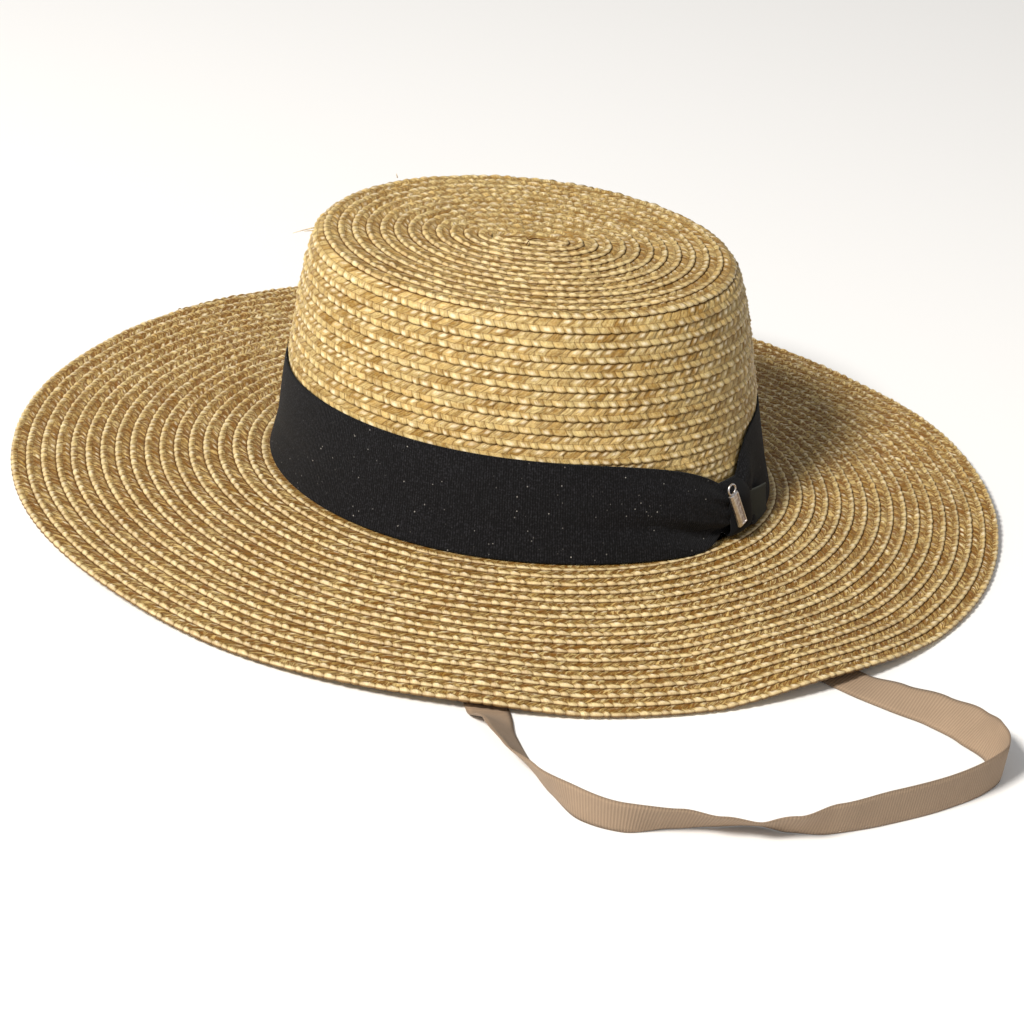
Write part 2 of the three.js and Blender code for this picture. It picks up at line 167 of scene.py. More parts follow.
# Ribbon band, in millimetres and degrees
BAND_THICKNESS = 1.0
BAND_BOTTOM_Z = 6.2
BAND_TOP_Z = 45.8
BAND_TOP_DRIFT = 0.45
BAND_GAP = 0.45
BAND_MEAN_RADIUS = 92.0
BAND_FLARE = 1.3
BAND_FLARE_SHARE = 0.35
BAND_ANGLES = 720
BAND_COLUMNS = 49
BAND_BACK_STEP = 8
KNOT_ANGLE = -33.0
KNOT_TOP_Z = 29.8
KNOT_BOTTOM_Z = 9.0
PINCH_LEFT_REACH = 15.0
PINCH_RIGHT_REACH = 5.5
PINCH_FOOT_SPAN = 9.0
FOLD_FAR_SHARE = 0.41
FOLD_NEAR_SHARE = 0.05
FOLD_BULGE = 3.6
UPPER_SPAN = 0.22
LIP_BULGE = 3.2
LIP_SPAN = 0.2
FOLD_DEPTH = 0.5
FOLD_WIDTH = 0.03
PLEATS = 4.0
PLEAT_DEPTH = 0.3
BAND_DRIFT = 0.3
EDGE_ROUND = 0.35
EDGE_REACH = 0.004

# Keeper, in millimetres and degrees: distance out and height along its section from below
KEEPER_HALF_ANGLE = 3.6
KEEPER_BARREL = 1.0
KEEPER_LEFT_SHARE = 0.65
KEEPER_THICKNESS = 0.9
KEEPER_CROWN = 0.35
KEEPER_CURL = 1.5
EDGE_THINNING = 0.7
KEEPER_SECTION = (
    (1.0, 8.2),
    (3.6, 8.0),
    (6.2, 11.0),
    (6.4, 17.6),
    (6.1, 23.6),
    (4.4, 27.6),
    (1.6, 28.8),
)

# Tail, in millimetres and degrees: from its hidden end to its cut end
TAIL_ANGLES = (-26.2, -14.0)
TAIL_TOPS = (23.0, 18.4)
TAIL_FEET = (7.6, 7.0)
TAIL_OUT = 3.5
TAIL_CURL = 0.9
TAIL_SWELL = 0.35
TAIL_THICKNESS = 0.9

# Tag, in millimetres and degrees
TAG_LENGTH = 15.4
TAG_WIDTH = 4.8
TAG_THICKNESS = 1.6
TAG_RECESS = 0.4
TAG_RIM = 0.7
TAG_CORNER = 0.35
TAG_LEAST_CORNER = 0.12
TAG_SIDES = 28
TAG_BEVEL = 0.18
TAG_SHIFT = 0.6
TAG_ANGLE = -34.6
TAG_OUT = 8.15
TAG_MIDDLE_Z = 20.6
TAG_TURN = 22.0
EYE_RADIUS = 2.1
EYE_WIRE_RADIUS = 0.42
# Painted reflection: the colour mottled over the tag's face
REFLECTION_COLOUR = (0.52, 0.47, 0.45)
METAL_BUMP = 0.00006

# Loose straws: where each starts, the way it runs and its length, in millimetres
LOOSE_STRAWS = (
    ((-84.6, -9.0, 102.0), (-0.93, -0.1, -0.28), 8.5),
    ((-84.8, -9.5, 101.0), (-0.98, -0.1, -0.12), 3.6),
    ((-57.0, 47.0, 104.8), (-0.35, 0.6, 0.72), 1.8),
)
STRAW_RADIUS = 0.28
STRAW_SAG = 0.05
STRAW_TAPER = 0.65
STRAW_RUN = (0.2, 0.7)
STRAW_ACROSS = 0.3

# Folded edges at the start of the plait on the tip, in millimetres: both ends of each
START_FOLDS = (
    ((-2.0, -13.0, 105.8), (-1.0, -7.7, 105.9)),
    ((-1.0, -7.7, 105.9), (-2.4, -4.8, 105.6)),
    ((-1.0, -7.7, 105.9), (1.9, -3.7, 105.5)),
)
FOLD_RADIUS = 0.32


def length_property(name, description, default):
    return FloatProperty(name=name, description=description, default=default, unit="LENGTH")


def power_property(name, description, default):
    return FloatProperty(name=name, description=description, default=default, unit="POWER")


def colour_property(name, description, default):
    return FloatVectorProperty(name=name, description=description, subtype="COLOR", default=default)


class PlaitSettings(bpy.types.PropertyGroup):
    """Sizes and colours of the sewn straw plait."""

    grain_pitch: length_property("Grain pitch", "Length of one grain along a row", 0.0042)
    row_step: length_property("Row step", "How far a row's outer edge stands over the next row", 0.0007)
    relief: length_property("Relief", "Height of a grain over the creases round it", 0.0009)
    light_straw: colour_property("Light straw", "Colour of the palest grains", (0.68, 0.53, 0.235))
    deep_straw: colour_property("Deep straw", "Colour of the darkest grains", (0.30, 0.165, 0.028))
    # Painted highlight: the pale straw is blended into the middle of each grain and along each row's
    # proud edge
    highlight_straw: colour_property("Pale straw", "Colour of a grain's highlighted middle", (0.88, 0.77, 0.55))
    # Painted shade: the groove colour darkens the creases between grains, arms and rows, and the gaps
    # between strands
    crease_shade: colour_property("Groove", "Colour down in the creases", (0.115, 0.045, 0.005))


class RibbonSettings(bpy.types.PropertyGroup):
    """Sizes and colours of the ribbons and the tag."""

    band_rib: length_property("Band rib", "Pitch of the band's ribs", 0.0009)
    strap_rib: length_property("Strap rib", "Pitch of the chin strap's ribs", 0.0011)
    band_colour: colour_property("Band colour", "Colour of the black ribbon", (0.012, 0.012, 0.014))
    tail_colour: colour_property("Tail colour", "Colour of the ribbon's cut end", (0.022, 0.026, 0.020))
    strap_colour: colour_property("Strap colour", "Colour of the beige ribbon", (0.37, 0.262, 0.175))
    tag_colour: colour_property("Tag colour", "Colour of the tag's metal", (0.74, 0.72, 0.71))
    # Painted reflection: the darker colour of the tag's recess
    field_reflection: colour_property("Tag field", "Colour of the tag's recess", (0.36, 0.28, 0.27))


class StageSettings(bpy.types.PropertyGroup):
    """Floor and lights."""

    floor_colour: colour_property("Floor colour", "Colour of the floor", (0.88, 0.88, 0.88))
    key_power: power_property("Key power", "Power of the main softbox", 132.0)
    fill_power: power_property("Fill power", "Power of the broad light in front", 8.0)
    sky: FloatProperty(name="Sky", description="Strength of the even sky", default=0.36, min=0.0)


class Wire:
    """An output socket on which an expression adds Math nodes."""

    def __init__(self, net, socket):
        self.net = net
        self.socket = socket

    def math(self, operation, *values):
        return self.net.node("ShaderNodeMath", {"operation": operation}, values)

    def __add__(self, other):
        return self.math("ADD", self, other)

    def __radd__(self, other):
        return self.math("ADD", other, self)

    def __sub__(self, other):
        return self.math("SUBTRACT", self, other)

    def __rsub__(self, other):
        return self.math("SUBTRACT", other, self)

    def __mul__(self, other):
        return self.math("MULTIPLY", self, other)

    def __rmul__(self, other):
        return self.math("MULTIPLY", other, self)

    def __truediv__(self, other):
        return self.math("DIVIDE", self, other)

    def __gt__(self, other):
        return self.math("GREATER_THAN", self, other)

    def floor(self):
        return self.math("FLOOR", self)

    def fraction(self):
        return self.math("FRACT", self)

    def sine(self):
        return self.math("SINE", self)

    def least(self, other):
        return self.math("MINIMUM", self, other)

    def away(self):
        return self.math("ABSOLUTE", self)


class Net:
    """The node tree of a new material, with one way to add a node."""

    def __init__(self, name, **shader):
        self.material = bpy.data.materials.new(name)
        self.material.use_nodes = True
        self.tree = self.material.node_tree
        self.shader = self.tree.nodes["Principled BSDF"]
        for key, value in shader.items():
            self.shader.inputs[key.replace("_", " ")].default_value = value

    def node(self, kind, settings=None, inputs=(), output=0):
        made = self.tree.nodes.new(kind)
        for key, value in (settings or {}).items():
            setattr(made, key, value)
        for key, value in inputs.items() if isinstance(inputs, dict) else enumerate(inputs):
            self.feed(made.inputs[key], value)
        return Wire(self, made.outputs[output])

    def feed(self, socket, value):
        if isinstance(value, Wire):
            self.tree.links.new(value.socket, socket)
        else:
            socket.default_value = value

    def blend(self, factor, first, second, mode="MIX"):
        """Mixes two colours. The numbers 6 and 7 are the colour sockets of a Mix node."""
        settings = {"data_type": "RGBA", "blend_type": mode}
        colours = {6: first, 7: second}
        ready = {k: v if isinstance(v, Wire) else (*v, 1.0) for k, v in colours.items()}
        return self.node("ShaderNodeMix", settings, {0: factor, **ready}, output=2)

    def point(self, x, y, z):
        return self.node("ShaderNodeCombineXYZ", None, (x, y, z))

    def parts(self, vector):
        split = self.tree.nodes.new("ShaderNodeSeparateXYZ")
        self.feed(split.inputs[0], vector)
        return [Wire(self, socket) for socket in split.outputs]

    def attribute(self, name):
        return self.node("ShaderNodeAttribute", {"attribute_name": name}, output="Vector")

    def place(self):
        return self.node("ShaderNodeTexCoord", output="Object")

    def noise(self, vector, scale, detail=2.0, roughness=0.5):
        inputs = {"Vector": vector, "Scale": scale, "Detail": detail, "Roughness": roughness}
        return self.node("ShaderNodeTexNoise", None, inputs)

    def ramp(self, value, low, high):
        """A smooth step: 0 below low and 1 above high."""
        settings = {"interpolation_type": "SMOOTHSTEP"}
        inputs = {"Value": value, "From Min": low, "From Max": high}
        return self.node("ShaderNodeMapRange", settings, inputs)

    def bump(self, height, distance, strength):
        inputs = {"Height": height, "Distance": distance, "Strength": strength}
        return self.node("ShaderNodeBump", None, inputs)

    def finish(self, **links):
        for key, value in links.items():
            self.feed(self.shader.inputs[key.replace("_", " ")], value)
        return self.material


def smooth(low, high, value):
    """A smooth step: 0 below low, 1 above high, and 3s^2 - 2s^3 of the share s between."""
    share = np.clip((value - low) / (high - low), 0.0, 1.0)
    return share * share * (3.0 - 2.0 * share)


def lerp(first, second, share):
    return first + (second - first) * share


def cubic(p1, p2, t1, t2, share):
    """The cubic from p1 to p2 with tangents t1 and t2, and its slope."""
    c2 = -3 * p1 + 3 * p2 - 2 * t1 - t2
    c3 = 2 * p1 - 2 * p2 + t1 + t2
    return p1 + t1 * share + c2 * share**2 + c3 * share**3, t1 + 2 * c2 * share + 3 * c3 * share**2


def catmull_rom(points, share):
    """A centripetal Catmull-Rom curve through the points at shares of its spans, with its tangent:
    knots are spaced by the square root of the distance, and the ends are extended straight."""
    points = np.vstack([2 * points[0] - points[1], points, 2 * points[-1] - points[-2]])
    spans = len(points) - 3
    at = np.clip(share, 0.0, 1.0) * spans
    span = np.minimum(at.astype(int), spans - 1)
    weight = (at - span)[:, None]
    p = [points[span + k] for k in range(4)]
    d = [np.sqrt(np.linalg.norm(p[k + 1] - p[k], axis=1))[:, None] for k in range(3)]
    t1 = ((p[1] - p[0]) / d[0] - (p[2] - p[0]) / (d[0] + d[1]) + (p[2] - p[1]) / d[1]) * d[1]
    t2 = ((p[2] - p[1]) / d[1] - (p[3] - p[1]) / (d[1] + d[2]) + (p[3] - p[2]) / d[2]) * d[1]
    place, slope = cubic(p[1], p[2], t1, t2, weight)
    return place, slope / np.linalg.norm(slope, axis=1)[:, None]


def grid_faces(rings, size, ring_closed, path_closed):
    """Quads between neighbouring rings of points, as rows of four indices."""
    ring = np.arange(rings if path_closed else rings - 1)[:, None]
    side = np.arange(size if ring_closed else size - 1)[None, :]
    after_ring = (ring + 1) % rings
    after_side = (side + 1) % size
    corners = (
        ring * size + side,
        ring * size + after_side,
        after_ring * size + after_side,
        after_ring * size + side,
    )
    return np.stack(corners, axis=-1).reshape(-1, 4)


def new_piece(name, points, quads, caps=(), values=None):
    """Makes a mesh object from points in millimetres, quads, capping polygons and named point
    attributes, and turns its faces so that its volume, a sum of cones from the origin, is positive."""
    points = np.ascontiguousarray(points.reshape(-1, 3) * MM)
    a, b, c, d = (points[quads[:, k]] for k in range(4))
    volume = np.einsum("ij,ij->", a, np.cross(b, c)) + np.einsum("ij,ij->", a, np.cross(c, d))
    if volume < 0:
        quads = quads[:, ::-1]
        caps = [cap[::-1] for cap in caps]
    loops = np.concatenate([quads.ravel(), *[np.asarray(cap) for cap in caps]]).astype(np.int32)
    sizes = np.concatenate([np.full(len(quads), 4), [len(cap) for cap in caps]])
    starts = np.concatenate([[0], np.cumsum(sizes)[:-1]]).astype(np.int32)
    mesh = bpy.data.meshes.new(name)
    mesh.vertices.add(len(points))
    mesh.vertices.foreach_set("co", points.ravel())
    mesh.loops.add(len(loops))
    mesh.loops.foreach_set("vertex_index", loops)
    mesh.polygons.add(len(starts))
    mesh.polygons.foreach_set("loop_start", starts)
    mesh.update(calc_edges=True)
    mesh.shade_smooth()
    for key, value in (values or {}).items():
        layer = mesh.attributes.new(key, "FLOAT_VECTOR", "POINT")
        layer.data.foreach_set("vector", np.ascontiguousarray(value, dtype=np.float32).ravel())
    made = bpy.data.objects.new(name, mesh)
    bpy.context.scene.collection.objects.link(made)
    return made


def swept_piece(name, sections, path_closed=False, values=None):
    """A closed section carried along a path. sections has the shape (stations, corners, 3). Open
    paths get a flat polygon over each end."""
    stations, corners = sections.shape[:2]
    quads = grid_faces(stations, corners, True, path_closed)
    last = (stations - 1) * corners
    caps = [] if path_closed else [list(range(corners))[::-1], [last + k for k in range(corners)]]
    return new_piece(name, sections, quads, caps, values)


def put_on(piece, material):
    """Gives a piece its material and its body."""
    piece.data.materials.append(material)
    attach(piece, "root")
    return piece


# Crown and brim surfaces
def crown_centre_x(z):
    """The crown's middle moves from CROWN_SHIFT at its foot by CROWN_LEAN at its top."""
    return CROWN_SHIFT + CROWN_LEAN * (z - BRIM_ROOT_Z) / (CROWN_TOP_Z - BRIM_ROOT_Z)


def crown_meridian():
    """Half length, half width and height of the crown against the number of rows from its middle.
    The stations are straight between the sections and then averaged over EDGE_ROUNDING."""
    table = np.array(CROWN_SECTIONS)
    radius = table[:, 1:].mean(axis=1)
    steps = np.hypot(np.diff(radius), np.diff(table[:, 0]))
    side_pitch = steps[2:6].sum() / SIDE_ROWS
    rows = np.concatenate([[CENTRE_ROWS], [TIP_ROWS], steps[2:] / side_pitch])
    row = np.concatenate([[0.0], np.cumsum(rows)])
    fine = np.linspace(0.0, row[-1], 3001)
    reach = int(EDGE_ROUNDING / side_pitch / (fine[1] - fine[0]))
    weight = np.hanning(2 * reach + 1)
    weight /= weight.sum()
    columns = []
    for column in (1, 2, 0):
        value = np.interp(fine, row, table[:, column])
        before = 2 * value[0] - value[reach:0:-1]
        after = 2 * value[-1] - value[-2:-reach - 2:-1]
        wide = np.concatenate([before, value, after])
        columns.append(np.convolve(wide, weight, "valid"))
    return fine, np.stack(columns), row


CROWN_FINE, CROWN_COLUMNS, CROWN_ROWS_AT = crown_meridian()
CROWN_SLOPES = np.gradient(CROWN_COLUMNS, CROWN_FINE, axis=1)


def pinch_round(degrees):
    """How much the band is pinched at each angle, as e^(-away / reach), where away is the distance
    in degrees beyond the keeper's edge. Both are returned."""
    side = (degrees - KNOT_ANGLE + 180.0) % 360.0 - 180.0
    away = np.maximum(0.0, np.abs(side) - KEEPER_HALF_ANGLE)
    reach = np.where(side < 0, PINCH_LEFT_REACH, PINCH_RIGHT_REACH)
    return np.exp(-away / reach), away


def band_top(degrees):
    """Height of the band's top edge: a slow wave that drops to KNOT_TOP_Z by the pinch."""
    drift = BAND_TOP_DRIFT * np.cos(np.radians(degrees) - math.radians(-112.0))
    return lerp(BAND_TOP_Z + drift, KNOT_TOP_Z, pinch_round(degrees)[0])


def crown_surface(row, angle, height):
    """A point of the crown: the oval of half length a and half width b at that row, pushed out
    along the meridian's normal by height, of which a quarter is left under the band. Rows count
    from the middle of the tip downwards."""
    a, b, z = (np.interp(row, CROWN_FINE, column) for column in CROWN_COLUMNS)
    da, db, dz = (np.interp(row, CROWN_FINE, column) for column in CROWN_SLOPES)
    covered = 1.0 - smooth(-1.5, 2.4, z - band_top(np.degrees(angle)))
    height = np.where(height > 0, height * (1.0 - 0.75 * covered), height)
    run = (da + db) / 2
    length = np.hypot(run, dz)
    out = -dz / length * height
    level = z + run / length * height
    x = crown_centre_x(z) + (a + out) * np.cos(angle)
    y = (b + out) * np.sin(angle) - TIP_OFFSET * np.clip(1.0 - row / TIP_ROWS, 0.0, 1.0) ** 1.5
    return np.stack([x, y, level], axis=-1)


def core_surface(row, angle, height):
    """A point of the short straight plait that fills the middle of the tip: the angle gives the
    place along it, and the row the place across it."""
    x = crown_centre_x(CROWN_TOP_Z) + CORE_SHIFT + CORE_HALF_LENGTH * (angle / math.pi - 1.0)
    y = (0.5 - row) * CORE_WIDTH - TIP_OFFSET
    return np.stack(np.broadcast_arrays(x, y, CROWN_TOP_Z - CORE_SINK + height), axis=-1)


def edge_lift(angle):
    """Height of the brim's edge off the ground: a curve through BRIM_WAVE whose tangents are
    WAVE_TENSION times the difference of the neighbours, and never below 0."""
    table = np.array(BRIM_WAVE, dtype=float)
    table = np.vstack([2 * table[0] - table[1], table, 2 * table[-1] - table[-2]])
    share = np.linspace(0.0, 1.0, 41)[None, :, None]
    p0, p1, p2, p3 = (table[k:len(table) - 3 + k, None, :] for k in range(4))
    curve = cubic(p1, p2, WAVE_TENSION * (p2 - p0), WAVE_TENSION * (p3 - p1), share)[0]
    flat = curve[:, :-1].reshape(-1, 2)
    flat = np.vstack([flat, curve[-1, -1]])
    return np.maximum(0.0, np.interp(np.degrees(angle) % 360.0, flat[:, 0], flat[:, 1]))


def brim_surface(row, angle, height):
    """A point of the brim: an oval that grows evenly from the crown's foot to the edge, raised by
    the wave's lift times the square of the share of the way out. Height fades to a tenth at the
    root, where the band stands."""
    share = row / BRIM_ROWS
    a = lerp(FOOT_HALF_LENGTH, BRIM_HALF_LENGTH, share)
    b = lerp(FOOT_HALF_WIDTH, BRIM_HALF_WIDTH, share)
    lift = edge_lift(angle) * np.clip(share / BRIM_SEAT_SHARE, 0.0, 1.0) ** 2
    height = np.where(height > 0, height * lerp(0.1, 1.0, smooth(0.2, 1.8, row)), height)
    z = lerp(BRIM_ROOT_Z, BRIM_EDGE_Z, share) + lift + height
    x = CROWN_SHIFT * (1 - share) + a * np.cos(angle)
    return np.stack([x, b * np.sin(angle), z], axis=-1)


# Straw's look: what tints the light straw, how strong the painted shade in the gaps and the painted
# highlight on the ridges are, noise scales for each metre of the object, the bump's depth in metres
# and the shine
CROWN_WARMTH = (1.04, 0.92, 0.75)
BRIM_WARMTH = (1.0, 0.88, 0.72)
FOLD_WARMTH = (0.6, 0.5, 0.4)
TIP_SHADE_AND_RIDGE = 0.55
SIDE_SHADE_AND_RIDGE = 0.2
BRIM_SHADE_AND_RIDGE = 0.9
CLOUD_SCALE = 22.0
PATCH_SCALE = 620.0
FLECK_SCALE = 1300.0
STRAW_BUMP = 0.00022
STRAW_SPECULAR = 0.28

# Plait: the places across a row, what each adds to the height, to the place along and to the place
# across, and a grain's height along the row. The upper arm ends at CREASE, where the lower begins.
STATIONS = 6
CREASE = 0.56
ACROSS = np.array([-0.12, 0.10, 0.34, CREASE, 0.68, 0.85, 0.975])
PILLOW = np.array([0.0, 0.62, 0.9, 0.42, 0.85, 1.0, 0.45])
SKEW = np.array([0.95, 0.68, 0.34, 0.0, 0.06, 0.16, 0.24])
SCALLOP = np.array([0.0, 0.0, 0.03, 0.06, 0.03, 0.05, 0.09])
LOWER_ARM = np.array([0, 0, 0, 1, 1, 1, 1])
ALONG = np.array([0.32, 0.66, 0.9, 1.0, 0.9, 0.66])

# How much grains vary: places in grains, heights as shares of the relief
GRAIN_NUDGE = 0.26
GRAIN_SIZE = 0.42
GRAIN_LEAN = 0.35
GRAIN_SINK = 0.25
SCALLOP_REST = 0.75

# Where the spirals start, in degrees, and the seeds of their random draws
CROWN_START = 200.0
BRIM_START = 100.0
CROWN_SEED = 11
CORE_SEED = 5
BRIM_SEED = 23

# Where the plaits begin, end and are split into pieces, in turns. The crown's splits are SPLIT_BACK
# before the end of the tip and of the side, and its last turn is FOOT_BACK before the last row.
CROWN_FIRST = 0.02
SPLIT_BACK = 0.5
FOOT_BACK = 1.02
CORE_TURNS = 0.999
CORE_LAST = 0.99
CORE_WINDOW = 0.001
BRIM_SPLITS = (8.1, 13.2)

# The plait's underside, in millimetres: how deep it lies below the surface at a row's outer edge and
# at its inner edge, and how much deeper by the last rows of a plait that has an end. For the colour,
# the places across of these two edges and how much of the back each is.
EDGE_UNDER = 0.3
ROW_UNDER = 1.25
LAST_ROW_UNDER = 0.15
UNDER_ACROSS = (1.03, -0.14)
UNDER_BACK = (0.6, 1.0)


class Spiral:
    """A plait sewn in a spiral over a surface. A point of it has a place along, counted in grains,
    and a place across, from 0 at the row's hidden inner edge to 1 at its proud outer edge."""

    def __init__(self, surface, turns, start_angle, window, grain, seed, first_row=0.0, last_row=1000.0):
        self.surface = surface
        self.last_row = last_row
        self.start = math.radians(start_angle)
        self.window = window
        self.first_row = first_row
        count = int(360 * turns) + 1
        self.turn = np.linspace(0.0, turns, count)
        middle = self.point(self.turn, 0.5, 0.0)
        steps = np.linalg.norm(np.diff(middle, axis=0), axis=1)
        self.length = np.concatenate([[0.0], np.cumsum(steps)])
        self.grain = grain
        self.grains = int(self.length[-1] / grain)
        random = np.random.default_rng(seed)
        self.shift, self.size, self.tilt = random.uniform(-1.0, 1.0, (3, 2, self.grains + 3))

    def point(self, turn, across, height):
        """The row number grows by one over each turn, all along it or within the window. Past the
        last row the plait narrows to nothing, so that it ends flush with the edge."""
        whole = np.floor(turn)
        part = turn - whole
        grown = smooth(0.0, self.window, part) if self.window < 1 else part
        row = self.first_row + whole + grown
        width = np.clip(self.last_row - row, 0.0, 1.0)
        return self.surface(row + across * width, self.start + 2 * math.pi * turn, height)

    def grain_at(self, turn):
        return int(np.interp(turn, self.turn, self.length) / self.grain)

    def strip(self, name, first, last, settings):
        """Carries the plait's section from one grain to another. The height over the surface is the
        row's ramp, plus a pillow for each grain: its profile along times its profile across."""
        relief = settings.relief / MM
        step = settings.row_step / MM
        index = np.arange(first * STATIONS, last * STATIONS + 1)[:, None]
        arm = LOWER_ARM[None, :]
        phase = index + arm * (STATIONS // 2)
        grain = phase // STATIONS
        part = phase % STATIONS
        share = part / STATIONS
        nudge = lerp(self.shift[arm, grain], self.shift[arm, grain + 1], share)
        along = index / STATIONS + SKEW[None, :] + GRAIN_NUDGE * nudge
        turn = np.interp(along * self.grain, self.length, self.turn)
        size = 1.0 + GRAIN_SIZE * self.size[arm, grain]
        lean = GRAIN_LEAN * self.tilt[arm, grain] * (share - 0.5)
        body = ALONG[part] * (size + lean)
        across = np.broadcast_to(ACROSS, along.shape)
        scallop = SCALLOP * (ALONG[part] - SCALLOP_REST) * size
        height = step * across + relief * PILLOW * body - GRAIN_SINK * relief
        top = self.point(turn, across + scallop, height)

        edge_row = np.minimum(self.first_row + turn[:, -1] + 1.0, self.last_row)
        edge = self.point(turn[:, -1], 1.0 + scallop[:, -1], -EDGE_UNDER)
        under = ROW_UNDER + LAST_ROW_UNDER * smooth(self.last_row / 2, self.last_row - 1.0, edge_row)
        inner = self.point(turn[:, 0], ACROSS[0], -under)
        sections = np.concatenate([top, edge[:, None], inner[:, None]], axis=1)

        values = np.zeros((len(index), len(ACROSS) + 2, 3))
        values[..., 0] = index / STATIONS
        values[..., 1] = (*ACROSS, *UNDER_ACROSS)
        values[:, -2:, 2] = UNDER_BACK
        return swept_piece(name, sections, values={"plait": values})


def straw_material(context, name, warmth, shade_and_ridge):
    """Straw by grain: a random tone for each grain and arm, fine streaks along the straw, painted shade
    in the gaps between its strands, painted highlights on each grain's middle and on each row's ridge,
    painted shade in the creases where grains, arms and rows meet, and painted light on the lower arm.
    The last argument is how strong the painted gap shade and the ridge's painted highlight are."""
    settings = context.scene.boater_plait
    deep, light, pale, crease_shade = (
        tuple(colour)
        for colour in (settings.deep_straw, settings.light_straw, settings.highlight_straw, settings.crease_shade)
    )
    net = Net(name, Specular_IOR_Level=STRAW_SPECULAR)
    u, v, back = net.parts(net.attribute("plait"))
    place = net.place()

    # Each grain and arm is a cell with its own tone, hue and gloss
    arm = v > CREASE
    lane = u + arm * 0.5
    cell = lane.floor()
    part = lane.fraction()
    seed = {"Vector": net.point(cell, arm, 0.0)}
    white = net.node("ShaderNodeTexWhiteNoise", {"noise_dimensions": "2D"}, seed, "Color")
    tone, hue, gloss = net.parts(white)
    cloud = net.noise(place, CLOUD_SCALE, 3.0)
    patch = net.noise(place, PATCH_SCALE, 3.0, 0.6)
    fleck = net.ramp(net.noise(place, FLECK_SCALE, 2.0, 0.6), 0.56, 0.72)
    streak = net.noise(net.point(lane * 7.0, v * 2.4, tone * 9.0), 1.0, 3.0, 0.65)
    # The lower arm's tone is raised by arm * 0.16: painted light on the arm that faces the light
    shade = tone * 0.45 + streak * 1.1 + patch * 0.9 + cloud * 0.4 + arm * 0.16 - 1.03
    colour = net.blend(net.ramp(shade, 0.0, 0.9), deep, light)
    tinted = tuple(c * w for c, w in zip(light, warmth))
    colour = net.blend(net.ramp(hue, 0.60, 1.0) * 0.55, colour, tinted)
    colour = net.blend(fleck * 0.45, colour, deep)

    # Painted highlight: pale domes in the middle of a grain, by its gloss, and a pale ridge at the row's
    # proud edge
    side = part.least(1.0 - part)
    middle = 1.0 - net.ramp((v - arm * CREASE - 0.22).away(), 0.02, 0.19)
    dome = net.ramp(side, 0.14, 0.44) * middle
    colour = net.blend(dome * net.ramp(gloss + streak, 0.75, 1.35) * 0.75, colour, pale)
    colour = net.blend(net.ramp(v, 0.76, 0.9) * arm * shade_and_ridge * 0.3, colour, pale)

    # Painted shade: brown gaps between strands, which fade towards the proud edge
    strand = net.noise(net.point(lane * 5.0, v * 1.6, cell * 0.37), 1.0, 3.0, 0.7)
    gap = (1.0 - net.ramp(strand, 0.44, 0.56)) * (1.0 - net.ramp(v, 0.66, 0.88) * 0.85)
    colour = net.blend(gap * shade_and_ridge, colour, tuple(1.6 * c for c in crease_shade))

    # Painted shade in the creases between grains, between the two arms and between rows
    crease = net.ramp(side, 0.0, 0.10)
    arms = net.ramp((v - CREASE).away(), 0.0, 0.05)
    seam = net.ramp(v, -0.02, 0.15) * (1.0 - net.ramp(v, 0.975, 1.01))
    open_face = (net.ramp(side, 0.0, 0.42) * 0.15 + 0.85) * (crease * 0.55 + 0.45)
    open_face = open_face * (arms * 0.4 + 0.6) * (seam * 0.85 + 0.15)
    colour = net.blend(open_face, crease_shade, colour)
    height = streak * 0.7 + patch * 0.6 - gap * 0.8 + crease * back * 1.5 + arms * back
    return net.finish(
        Base_Color=colour,
        Roughness=gloss * 0.22 + 0.34,
        Normal=net.bump(height, STRAW_BUMP, 0.8),
    )


def straw_pieces(context, spiral, spans, node, material):
    """One strip for each named span of turns, standing for the CAD node."""
    settings = context.scene.boater_plait
    for name, first_turn, last_turn in spans:
        first = spiral.grain_at(first_turn)
        last = min(spiral.grain_at(last_turn), spiral.grains - 2)
        piece = spiral.strip(name, first, last, settings)
        put_on(piece, material)
        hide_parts(node)


# Ribbon's look: noise scales for each metre, widths in millimetres and the bump's depth in metres
WEAR_SCALE = 60.0
FUZZ_AND_SHEEN_SCALE = 1500.0
LINT_SCALE = 330.0
LINT_COLOUR = (0.45, 0.43, 0.40)
FRAYED_COLOUR = (0.16, 0.17, 0.14)
THREAD_SHARE = 0.45
SELVEDGE_WIDTH = 1.2
RIB_BUMP = 0.00012


# Ribbon pieces and their material
def side_of_crown(angle, out, z):
    """A point beside the crown at a height: its oval there, grown by a distance."""
    table = np.array(CROWN_SECTIONS[2:])[::-1]
    a = np.interp(z, table[:, 0], table[:, 1]) + out
    b = np.interp(z, table[:, 0], table[:, 2]) + out
    return np.stack([crown_centre_x(z) + a * np.cos(angle), b * np.sin(angle), z], axis=-1)


def ribbon_piece(name, face, back, weave, path_closed=False):
    """A ribbon between two grids of points, its face and its back. weave holds the place along, the
    place across and the share of a cut edge for each point of the face; the back takes its own
    columns from the nearest of them."""
    pick = np.linspace(face.shape[1] - 1, 0, back.shape[1]).round().astype(int)
    sections = np.concatenate([face, back[:, ::-1]], axis=1)
    values = np.concatenate([weave, weave[:, pick]], axis=1)
    return swept_piece(name, sections, path_closed, {"weave": values})


